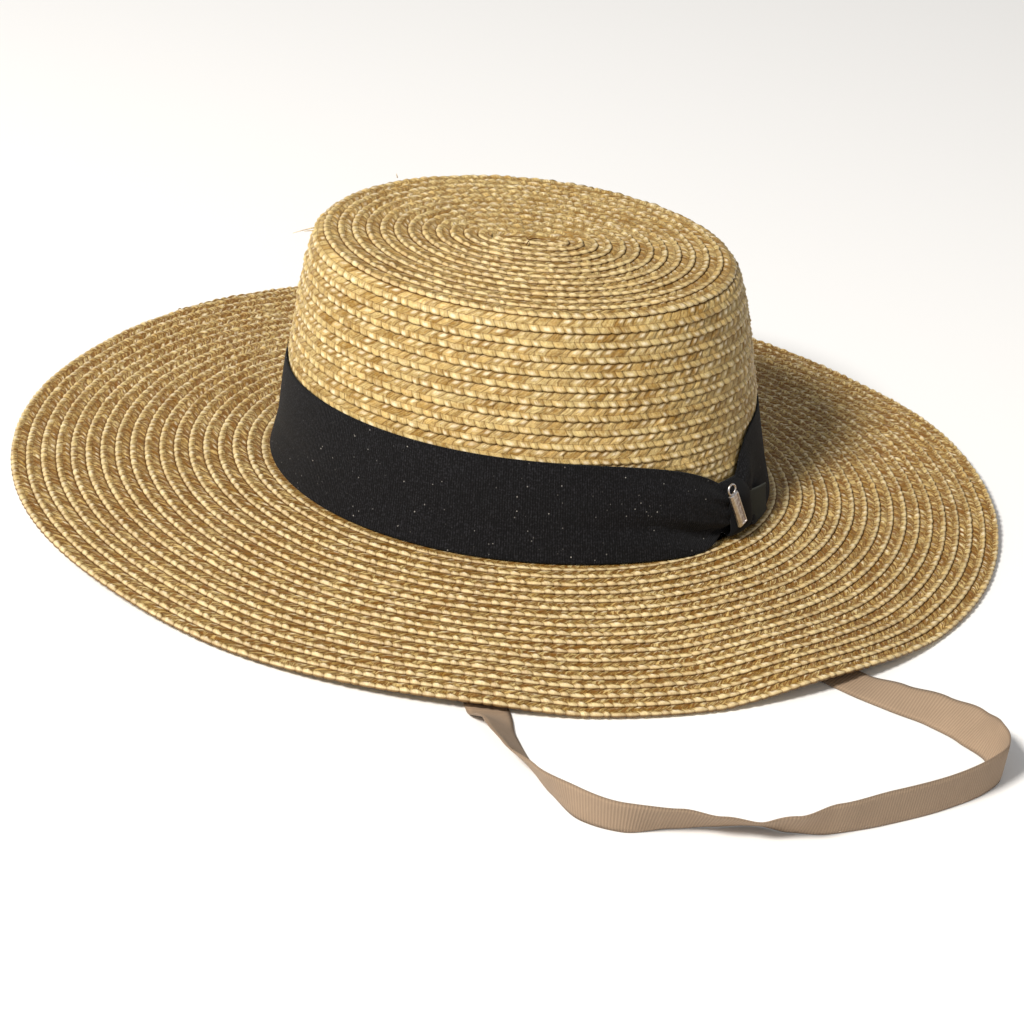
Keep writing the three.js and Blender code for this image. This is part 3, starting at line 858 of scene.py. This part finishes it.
def band_piece():
    """The band is a ribbon round the crown's side. Next to the knot its top drops to KNOT_TOP_Z and
    its foot rises. A fold runs down its face into the knot, at a share of its height between
    FOLD_FAR_SHARE and FOLD_NEAR_SHARE by the pinch. The face bulges out above the fold and rolls
    into a lip below it, each as a smooth step of the share of the height, and the fold itself is a
    bell curve FOLD_WIDTH wide. Its edges are thinned by e^(-share / EDGE_REACH)."""
    degrees = KNOT_ANGLE + np.linspace(0.0, 360.0, BAND_ANGLES + 1)[:-1, None]
    pinch, away = pinch_round(degrees)
    share = (0.5 - 0.5 * np.cos(np.linspace(0.0, math.pi, BAND_COLUMNS)))[None, :]
    angle = np.radians(degrees) + 0.0 * share
    fold = lerp(FOLD_FAR_SHARE, FOLD_NEAR_SHARE, pinch)
    upper = smooth(fold, fold + UPPER_SPAN, share) * (1.0 - 0.75 * smooth(0.7, 1.0, share))
    lip = 1.0 - smooth(fold - LIP_SPAN, fold, share)
    pleats = PLEAT_DEPTH * np.sin(2.0 * math.pi * (PLEATS * share + 1.5 * pinch)) * pinch**2
    valley = FOLD_DEPTH * np.exp(-(((share - fold) / FOLD_WIDTH) ** 2))
    bulge = smooth(0.0, 0.5, pinch) * (FOLD_BULGE * upper + LIP_BULGE * lip - valley) + pleats
    flare = BAND_FLARE * (1.0 - pinch) * np.maximum(0.0, 1.0 - share / BAND_FLARE_SHARE)
    drift = BAND_DRIFT * np.sin(3.0 * angle + 5.0 * share) * np.sin(2.0 * angle + 1.0) * (1.0 - pinch)
    rounding = EDGE_ROUND * (np.exp(-share / EDGE_REACH) + np.exp((share - 1.0) / EDGE_REACH))
    out = BAND_GAP + bulge + flare + drift
    foot = 1.0 - smooth(0.0, PINCH_FOOT_SPAN, away)
    z = lerp(lerp(BAND_BOTTOM_Z, KNOT_BOTTOM_Z, foot), band_top(degrees), share)
    face = side_of_crown(angle, out + BAND_THICKNESS - rounding, z)
    back = side_of_crown(angle, out + rounding, z)[:, ::BAND_BACK_STEP]
    run = np.radians(degrees) * BAND_MEAN_RADIUS
    across = share * (BAND_TOP_Z - BAND_BOTTOM_Z)
    weave = np.stack(np.broadcast_arrays(run, across, 0.0 * across), axis=-1)
    return ribbon_piece("ribbon_band", face, back, weave, path_closed=True)


def keeper_piece():
    """A loop of ribbon over the pinched band. Its section is a curve through KEEPER_SECTION, its
    right hand edge swells by the sine of the share of the way over, and its face curls back by
    the fourth power of the share of the way to either edge."""
    share = np.linspace(0.0, 1.0, 49)
    section, along = catmull_rom(np.array([(out, z, 0.0) for out, z in KEEPER_SECTION]), share)
    across = np.linspace(-1.0, 1.0, 21)[None, :]
    swell = np.maximum(0.0, np.sin(math.pi * share))[:, None]
    half = KEEPER_HALF_ANGLE * np.where(across > 0, 1.0 + KEEPER_BARREL * swell, KEEPER_LEFT_SHARE)
    angle = np.radians(KNOT_ANGLE + half * across)
    curl = KEEPER_CROWN * (1.0 - across**2) - KEEPER_CURL * across**4
    thin = KEEPER_THICKNESS / 2 * (1.0 - EDGE_THINNING * np.abs(across) ** 12)
    grids = []
    for side in (1.0, -1.0):
        out = section[:, :1] + (curl * swell + side * thin) * along[:, 1:2]
        z = section[:, 1:2] - side * thin * along[:, :1]
        grids.append(side_of_crown(angle, out, z + 0.0 * angle))
    run = np.concatenate([[0.0], np.cumsum(np.linalg.norm(np.diff(section, axis=0), axis=1))])[:, None]
    width = float(np.linalg.norm(grids[0][:, -1] - grids[0][:, 0], axis=1).mean())
    weave = np.stack(np.broadcast_arrays(run, (across + 1.0) / 2.0 * width, 0.0 * across), axis=-1)
    return ribbon_piece("keeper_loop", grids[0], grids[1], weave), float(run[-1, 0]), width


def tail_piece():
    """The ribbon's cut end, which stands off the band behind the keeper. Its top is the cut edge,
    slants from one of TAIL_TOPS to the other, and curls out by the square of the height's share."""
    along = np.linspace(0.0, 1.0, 25)[:, None]
    share = (0.5 - 0.5 * np.cos(np.linspace(0.0, math.pi, 17)))[None, :]
    angle = np.radians(lerp(TAIL_ANGLES[0], TAIL_ANGLES[1], along)) + 0.0 * share
    z = lerp(lerp(TAIL_FEET[0], TAIL_FEET[1], along), lerp(TAIL_TOPS[0], TAIL_TOPS[1], along), share)
    out = TAIL_OUT + TAIL_CURL * share**2 + TAIL_SWELL * np.sin(math.pi * along + 2.0 * share)
    deep = TAIL_THICKNESS / 2 * (1.0 - EDGE_THINNING * np.maximum(0.0, (share - 0.97) / 0.03))
    face = side_of_crown(angle, out + deep, z)
    back = side_of_crown(angle, out - deep, z)
    length = math.radians(TAIL_ANGLES[1] - TAIL_ANGLES[0]) * BAND_MEAN_RADIUS
    height = (TAIL_TOPS[0] + TAIL_TOPS[1] - TAIL_FEET[0] - TAIL_FEET[1]) / 2
    cut = smooth(0.955, 0.99, share)
    weave = np.stack(np.broadcast_arrays(along * length, share * height, cut), axis=-1)
    return ribbon_piece("ribbon_end", face, back, weave), length, height


def ribbon_material(
    name, colour, rib, width, contrast, lint=0.0, selvedge=0.25, depth=0.8, gloss=0.3, fuzz_and_sheen=0.0
):
    """Ribbed ribbon: round ribs across its length, a finer thread along it, darker selvedges, a
    frayed pale line on a cut edge, a little lint and, by its last argument, bright specks that are
    partly fibre ends and partly painted sheen."""
    net = Net(name, Sheen_Weight=0.04, Sheen_Roughness=0.5, Specular_IOR_Level=gloss)
    run, across, cut = net.parts(net.attribute("weave"))
    rib_wave = (run * (2 * math.pi / rib)).sine() * 0.5 + 0.5
    thread = (across * (2 * math.pi / (rib * THREAD_SHARE))).sine() * 0.5 + 0.5
    place = net.place()
    wear = net.noise(place, WEAR_SCALE, 4.0, 0.6)
    fibre = net.noise(net.point(run * 3.0, across * 1.2, 0.0), 1.0, 3.0, 0.7)
    tone = 1.0 - contrast + contrast * (rib_wave * 0.6 + fibre * 0.4) + (wear - 0.5) * 0.25
    edge = net.ramp((across / width - 0.5).away(), 0.5 - SELVEDGE_WIDTH / width, 0.5)
    # Bright specks: partly fibre ends, partly painted sheen
    ends = net.ramp(net.noise(place, FUZZ_AND_SHEEN_SCALE, 1.0), 0.42, 0.78)
    tone = tone * (1.0 - edge * selvedge) * (1.0 - fuzz_and_sheen + ends * fuzz_and_sheen * 4.0)
    shade = net.blend(1.0, colour, net.point(tone, tone, tone), "MULTIPLY")
    shade = net.blend(cut * 0.55, shade, FRAYED_COLOUR)
    if lint:
        cells = {"Vector": place, "Scale": LINT_SCALE}
        dot = net.node("ShaderNodeTexVoronoi", {"feature": "F1"}, cells, "Distance")
        speck = (1.0 - net.ramp(dot, 0.04, 0.12)) * net.ramp(wear, 0.42, 0.62) * lint
        shade = net.blend(speck, shade, LINT_COLOUR)
    height = rib_wave + thread * 0.35 + fibre * 0.3
    return net.finish(
        Base_Color=shade,
        Roughness=0.78 + fibre * 0.15,
        Normal=net.bump(height, RIB_BUMP, depth),
    )


# Tag and its material
def tag_axes():
    """The tag's seat on the keeper and its three directions: width, length and outward. The width
    follows the oval, and both are then turned by TAG_TURN about the outward direction."""
    angle = math.radians(TAG_ANGLE)
    seat, beside, above = (
        side_of_crown(np.array(angle + turn), TAG_OUT, np.array(TAG_MIDDLE_Z + rise))
        for turn, rise in ((0.0, 0.0), (0.001, 0.0), (0.0, 1.0))
    )
    across = (beside - seat) / np.linalg.norm(beside - seat)
    outward = np.cross(across, above - seat)
    outward /= np.linalg.norm(outward)
    up = np.cross(outward, across)
    turn = math.radians(TAG_TURN)
    width = across * math.cos(turn) + up * math.sin(turn)
    length = up * math.cos(turn) - across * math.sin(turn)
    return seat, np.stack([width, length, outward])


def tag_plate():
    """A plate with bevelled edges and a recessed field. Each ring is a rectangle with round
    corners, set in from the plate's outline by its first number and raised by its second. The
    third moves its left side to the right by twice as much, which makes the left rim wide."""
    half = TAG_THICKNESS / 2
    rings = np.array([
        (TAG_BEVEL, -half, 0.0),
        (0.0, TAG_BEVEL - half, 0.0),
        (0.0, half - 3 * TAG_BEVEL, 0.0),
        (TAG_RIM / 2, half, TAG_SHIFT * 0.6),
        (TAG_RIM - 0.12, half, TAG_SHIFT),
        (TAG_RIM, half - 0.1, TAG_SHIFT),
        (TAG_RIM + 0.05, half - TAG_RECESS, TAG_SHIFT),
        (TAG_RIM + 0.4, half - TAG_RECESS, TAG_SHIFT),
    ])
    turn = (np.arange(TAG_SIDES) + 0.5) * 2.0 * math.pi / TAG_SIDES
    inset = rings[:, :1]
    corner = np.maximum(TAG_LEAST_CORNER, TAG_CORNER - inset / 2)
    shift = rings[:, 2:]
    x = np.sign(np.cos(turn)) * (TAG_WIDTH / 2 - inset - corner - shift) + corner * np.cos(turn) + shift
    y = np.sign(np.sin(turn)) * (TAG_LENGTH / 2 - inset - corner) + corner * np.sin(turn)
    local = np.stack([x, y, rings[:, 1:2] + 0.0 * x], axis=-1)
    field = np.zeros_like(local)
    field[..., :2] = local[..., :2]
    field[6:, :, 2] = 1.0
    seat, axes = tag_axes()
    piece = swept_piece("tag_plate", seat + local @ axes, values={"plate": field})
    piece.data.shade_flat()
    return piece


def tag_eye():
    """A ring of round wire whose middle line is a circle over the plate's top edge."""
    round_ring = np.linspace(0.0, 2.0 * math.pi, 49)[:-1, None]
    round_wire = np.linspace(0.0, 2.0 * math.pi, 13)[None, :-1]
    reach = EYE_RADIUS + EYE_WIRE_RADIUS * np.cos(round_wire)
    x = reach * np.cos(round_ring)
    y = TAG_LENGTH / 2 + EYE_RADIUS + reach * np.sin(round_ring)
    z = EYE_WIRE_RADIUS * np.sin(round_wire) + 0.0 * x
    local = np.stack([x, y, z], axis=-1)
    seat, axes = tag_axes()
    field = np.concatenate([local[..., :2], np.zeros_like(local[..., :1])], axis=-1)
    return swept_piece("tag_eye", seat + local @ axes, path_closed=True, values={"plate": field})


def metal_material(name, settings):
    """Silver coloured metal with fine scratches along the plate, a painted reflection mottled over its
    face and a darker painted reflection in its recessed field. Both noises are in millimetres of the
    plate."""
    net = Net(name, Metallic=1.0)
    x, y, field = net.parts(net.attribute("plate"))
    scratch = net.noise(net.point(x * 9.0, y * 1.2, 0.0), 1.0, 4.0, 0.7)
    wear_and_reflection = net.noise(net.point(x, y, 3.0), 0.9, 4.0, 0.65)
    bright = tuple(settings.tag_colour)
    # Painted reflection mottled over the face and the recessed field; the same noise makes the field's
    # worn bump
    face = net.blend(net.ramp(wear_and_reflection, 0.35, 0.75), bright, REFLECTION_COLOUR)
    mottled_reflection = net.blend(net.ramp(wear_and_reflection, 0.3, 0.7), tuple(settings.field_reflection), bright)
    height = scratch + wear_and_reflection * field * 2.0
    return net.finish(
        Base_Color=net.blend(field, face, mottled_reflection),
        Roughness=0.2 + scratch * 0.22 + field * 0.15,
        Normal=net.bump(height, METAL_BUMP, 0.6),
    )


# Loose straws and folds
def loose_straw(name, start, way, length, radius, run, across):
    """A loose straw: a tube that thins along its length and sags by the square of the way along.
    run and across say which places of the plait it takes its colour from."""
    share = np.linspace(0.0, 1.0, 17)[:, None]
    way = np.array(way) / np.linalg.norm(way)
    turn = np.linspace(0.0, 2.0 * math.pi, 9)[None, :-1]
    side = np.cross(way, (0.0, 0.0, 1.0))
    side /= np.linalg.norm(side)
    up = np.cross(side, way)
    sag = np.array([0.0, 0.0, -STRAW_SAG * length])
    middle = np.array(start) + way * share * length + sag * share**2
    thin = (radius * (1.0 - STRAW_TAPER * share))[..., None]
    ring = side * np.cos(turn)[..., None] + up * np.sin(turn)[..., None]
    sections = middle[:, None] + thin * ring
    values = np.zeros_like(sections)
    values[..., 0] = lerp(run[0], run[1], share)
    values[..., 1] = across
    return swept_piece(name, sections, values={"plait": values})


# Chin strap
def strap_line(count):
    """The strap's middle line and the direction of its width. Its lower edge keeps to the ground,
    so the middle is as high as half the width's rise, half the thickness's and the lift."""
    route = np.array(STRAP_ROUTE, dtype=float)
    share = np.linspace(0.0, 1.0, count)
    at = np.minimum(share * (len(route) - 1), len(route) - 1 - 1e-6)
    row = at.astype(int)
    between = smooth(0.0, 1.0, at - row)
    lift, lean = (lerp(route[row, k], route[row + 1, k], between) for k in (2, 3))
    place, along = catmull_rom(np.column_stack([route[:, :2], np.zeros(len(route))]), share)
    lean = np.radians(lean)[:, None]
    right = np.stack([along[:, 1], -along[:, 0], np.zeros(count)], axis=1)
    wide = np.array([0.0, 0.0, 1.0]) * np.cos(lean) + right * np.sin(lean)
    thick = np.cross(wide, along)
    thick /= np.linalg.norm(thick, axis=1)[:, None]
    reach = STRAP_WIDTH / 2 * np.abs(wide[:, 2]) + STRAP_THICKNESS / 2 * np.abs(thick[:, 2])
    place[:, 2] = STRAP_FLOOR_GAP + reach + lift
    return place, wide, thick


# Stage, operators and registration
def stage_light(name, place, size, power, colour):
    """Adds a round area light that faces LIGHT_AIM."""
    lamp = bpy.data.lights.new(name, "AREA")
    lamp.shape = "DISK"
    lamp.size = size
    lamp.energy = power
    lamp.color = colour
    made = bpy.data.objects.new(name, lamp)
    made.location = place
    made.rotation_euler = (Vector(LIGHT_AIM) - Vector(place)).to_track_quat("-Z", "Y").to_euler()
    bpy.context.scene.collection.objects.link(made)
    return made


class BOATER_OT_camera(bpy.types.Operator):
    """Puts the camera at the photograph's angle, rolled by VIEW_ROLL about its own axis"""

    bl_idname = "boater.camera"
    bl_label = "Camera"

    def execute(self, context):
        rise = math.radians(VIEW_ELEVATION)
        roll = math.radians(VIEW_ROLL)
        back = Vector((0.0, -math.cos(rise), math.sin(rise)))
        level_up = Vector((0.0, math.sin(rise), math.cos(rise)))
        level_right = Vector((1.0, 0.0, 0.0))
        right = level_right * math.cos(roll) + level_up * math.sin(roll)
        up = level_up * math.cos(roll) - level_right * math.sin(roll)
        lens = bpy.data.cameras.new("view")
        lens.sensor_width = SENSOR_MM
        lens.lens = FOCAL_PX / FRAME_PX * SENSOR_MM
        lens.shift_x = (FRAME_PX / 2 - CENTRE_PX[0]) / FRAME_PX
        lens.shift_y = (CENTRE_PX[1] - FRAME_PX / 2) / FRAME_PX
        lens.clip_start = 0.05
        lens.clip_end = 20.0
        camera = bpy.data.objects.new("view", lens)
        place = Vector((0.0, 0.0, VIEW_TARGET_Z * MM)) + back * VIEW_DISTANCE * MM
        camera.matrix_world = Matrix.Translation(place) @ Matrix((right, up, back)).transposed().to_4x4()
        context.scene.collection.objects.link(camera)
        context.scene.camera = camera
        return {"FINISHED"}


class BOATER_OT_chin_strap(bpy.types.Operator):
    """Lays the chin strap: a flat ribbon section carried along its route on the ground"""

    bl_idname = "boater.chin_strap"
    bl_label = "Chin strap"

    def execute(self, context):
        settings = context.scene.boater_ribbon
        place, wide, thick = strap_line(STRAP_STATIONS)
        run = np.concatenate([[0.0], np.cumsum(np.linalg.norm(np.diff(place, axis=0), axis=1))])
        half = STRAP_WIDTH / 2
        across = np.linspace(-half, half, 9)
        deep = np.full(9, STRAP_THICKNESS / 2)
        deep[0] = deep[-1] = STRAP_EDGE / 2
        section = np.concatenate([np.stack([across, -deep], 1), np.stack([across, deep], 1)[::-1]])
        beside, above = section[None, :, :1], section[None, :, 1:]
        sections = place[:, None] + wide[:, None] * beside + thick[:, None] * above
        weave = np.stack(np.broadcast_arrays(run[:, None], section[None, :, 0] + half, 0.0), axis=-1)
        piece = swept_piece("chin_ribbon", sections, values={"weave": weave})
        rib = settings.strap_rib / MM
        beige = ribbon_material("beige_grosgrain", tuple(settings.strap_colour), rib, STRAP_WIDTH, 0.34)
        put_on(piece, beige)
        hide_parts("chin_strap")
        place[0] * MM
        place[::5] * MM
        return {"FINISHED"}


class BOATER_OT_crown(bpy.types.Operator):
    """Sews the crown: one spiral of plait from the middle of the tip down to the foot"""

    bl_idname = "boater.crown"
    bl_label = "Crown"

    def execute(self, context):
        grain = context.scene.boater_plait.grain_pitch / MM
        tip = float(CROWN_ROWS_AT[2]) - SPLIT_BACK
        band = tip + SIDE_ROWS
        turns = float(CROWN_ROWS_AT[-1]) - FOOT_BACK
        spiral = Spiral(crown_surface, turns, CROWN_START, 1.0, grain, CROWN_SEED)
        tip_material = straw_material(context, "tip_straw", CROWN_WARMTH, TIP_SHADE_AND_RIDGE)
        side_material = straw_material(context, "side_straw", CROWN_WARMTH, SIDE_SHADE_AND_RIDGE)
        tip_spans = [("crown_tip", CROWN_FIRST, tip)]
        side_spans = [("crown_side", tip, band), ("crown_foot", band, turns)]
        straw_pieces(context, spiral, tip_spans, "crown", tip_material)
        straw_pieces(context, spiral, side_spans, "crown", side_material)
        core = Spiral(core_surface, CORE_TURNS, 0.0, CORE_WINDOW, grain, CORE_SEED, first_row=-1.0)
        straw_pieces(context, core, [("crown_centre", 0.0, CORE_LAST)], "crown", tip_material)
        for number, (start, way, length) in enumerate(LOOSE_STRAWS, 1):
            name = f"loose_straw_{number}"
            straw = loose_straw(name, start, way, length, STRAW_RADIUS, STRAW_RUN, STRAW_ACROSS)
            put_on(straw, tip_material)
        shaded = straw_material(context, "folded_straw", FOLD_WARMTH, 1.0)
        for number, (start, end) in enumerate(START_FOLDS, 1):
            way = np.subtract(end, start)
            name = f"start_crease_{number}"
            fold = loose_straw(name, start, way, np.linalg.norm(way), FOLD_RADIUS, (0.0, 0.0), 0.0)
            put_on(fold, shaded)
        return {"FINISHED"}


class BOATER_OT_brim(bpy.types.Operator):
    """Sews the brim: a spiral of plait from the crown's foot out to the wavy edge"""

    bl_idname = "boater.brim"
    bl_label = "Brim"

    def execute(self, context):
        grain = context.scene.boater_plait.grain_pitch / MM
        turns = BRIM_ROWS + BRIM_WINDOW
        spiral = Spiral(brim_surface, turns, BRIM_START, BRIM_WINDOW, grain, BRIM_SEED, -1.0, BRIM_ROWS)
        material = straw_material(context, "brim_straw", BRIM_WARMTH, BRIM_SHADE_AND_RIDGE)
        inner, middle = BRIM_SPLITS
        spans = (
            ("brim_inner", 0.0, inner),
            ("brim_middle", inner, middle),
            ("brim_outer", middle, turns),
        )
        straw_pieces(context, spiral, spans, "brim", material)
        return {"FINISHED"}


class BOATER_OT_band(bpy.types.Operator):
    """Ties the ribbon band round the foot of the crown"""

    bl_idname = "boater.band"
    bl_label = "Ribbon band"

    def execute(self, context):
        settings = context.scene.boater_ribbon
        rib = settings.band_rib / MM
        width = BAND_TOP_Z - BAND_BOTTOM_Z
        colour = tuple(settings.band_colour)
        weave = {"lint": 0.8, "depth": 1.0, "gloss": 0.12, "fuzz_and_sheen": 0.45}
        black = ribbon_material("black_grosgrain", colour, rib, width, 0.7, **weave)
        band = put_on(band_piece(), black)
        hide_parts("band")
        return {"FINISHED"}


class BOATER_OT_join(bpy.types.Operator):
    """Closes the band's join with a smooth loop of ribbon and lays the cut end behind it"""

    bl_idname = "boater.join"
    bl_label = "Keeper and ribbon end"

    def execute(self, context):
        settings = context.scene.boater_ribbon
        rib = settings.band_rib / MM
        loop, length, width = keeper_piece()
        # Painted shade: the keeper's ribbon is the band's colour darkened to 0.4, as it lies in shade
        shaded_band_colour = tuple(c * 0.4 for c in settings.band_colour)
        weave = {"selvedge": 0.0, "depth": 0.2, "gloss": 0.12}
        satin = ribbon_material("black_satin", shaded_band_colour, rib / 2, width, 0.25, **weave)
        put_on(loop, satin)
        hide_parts("band_keeper")
        width * MM
        length * MM
        end, length, width = tail_piece()
        colour = tuple(settings.tail_colour)
        faded = ribbon_material("faded_grosgrain", colour, rib, width, 0.6, selvedge=0.0)
        put_on(end, faded)
        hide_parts("band_tail")
        width * MM
        length * MM
        return {"FINISHED"}


class BOATER_OT_tag(bpy.types.Operator):
    """Hangs the small metal tag with its round eye on the keeper"""

    bl_idname = "boater.tag"
    bl_label = "Tag"

    def execute(self, context):
        silver = metal_material("worn_silver", context.scene.boater_ribbon)
        for piece in (tag_plate(), tag_eye()):
            put_on(piece, silver)
            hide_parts("tag")
        return {"FINISHED"}


class BOATER_OT_stage(bpy.types.Operator):
    """Sets a pale floor, a broad softbox at the left, a fill in front and an even sky"""

    bl_idname = "boater.stage"
    bl_label = "Stage"

    def execute(self, context):
        settings = context.scene.boater_stage
        half = FLOOR_HALF
        corners = [(-half, -half, 0.0), (half, -half, 0.0), (half, half, 0.0), (-half, half, 0.0)]
        mesh = bpy.data.meshes.new("floor")
        mesh.from_pydata(corners, [], [(0, 1, 2, 3)])
        floor = bpy.data.objects.new("floor", mesh)
        context.scene.collection.objects.link(floor)
        pale = Net("pale_floor", Roughness=0.9, Base_Color=(*settings.floor_colour, 1.0))
        floor.data.materials.append(pale.material)
        stage_light("key", KEY_PLACE, KEY_SIZE, settings.key_power, KEY_COLOUR)
        stage_light("fill", FILL_PLACE, FILL_SIZE, settings.fill_power, FILL_COLOUR)
        world = bpy.data.worlds.new("even_sky")
        world.use_nodes = True
        sky = world.node_tree.nodes["Background"].inputs
        sky["Color"].default_value = (1.0, 1.0, 1.0, 1.0)
        sky["Strength"].default_value = settings.sky
        context.scene.world = world
        context.scene.view_settings.view_transform = "Standard"
        return {"FINISHED"}


class BOATER_PT_panel(bpy.types.Panel):
    """Lists the hat's pieces"""

    bl_idname = "BOATER_PT_panel"
    bl_label = "Straw boater"
    bl_space_type = "VIEW_3D"
    bl_region_type = "UI"
    bl_category = "Boater"

    def draw(self, context):
        for made in OPERATORS:
            self.layout.operator(made.bl_idname)


GROUPS = (PlaitSettings, RibbonSettings, StageSettings)
OPERATORS = (
    BOATER_OT_camera,
    BOATER_OT_chin_strap,
    BOATER_OT_crown,
    BOATER_OT_brim,
    BOATER_OT_band,
    BOATER_OT_join,
    BOATER_OT_tag,
    BOATER_OT_stage,
)


def register():
    for made in GROUPS + OPERATORS + (BOATER_PT_panel,):
        bpy.utils.register_class(made)
    bpy.types.Scene.boater_plait = PointerProperty(type=PlaitSettings)
    bpy.types.Scene.boater_ribbon = PointerProperty(type=RibbonSettings)
    bpy.types.Scene.boater_stage = PointerProperty(type=StageSettings)


def unregister():
    del bpy.types.Scene.boater_plait
    del bpy.types.Scene.boater_ribbon
    del bpy.types.Scene.boater_stage
    for made in reversed(GROUPS + OPERATORS + (BOATER_PT_panel,)):
        bpy.utils.unregister_class(made)


def main():
    register()
    bpy.ops.boater.camera()
    bpy.ops.boater.chin_strap()
    bpy.ops.boater.crown()
    bpy.ops.boater.brim()
    bpy.ops.boater.band()
    bpy.ops.boater.join()
    bpy.ops.boater.tag()
    bpy.ops.boater.stage()


if __name__ == "__main__":
    main()
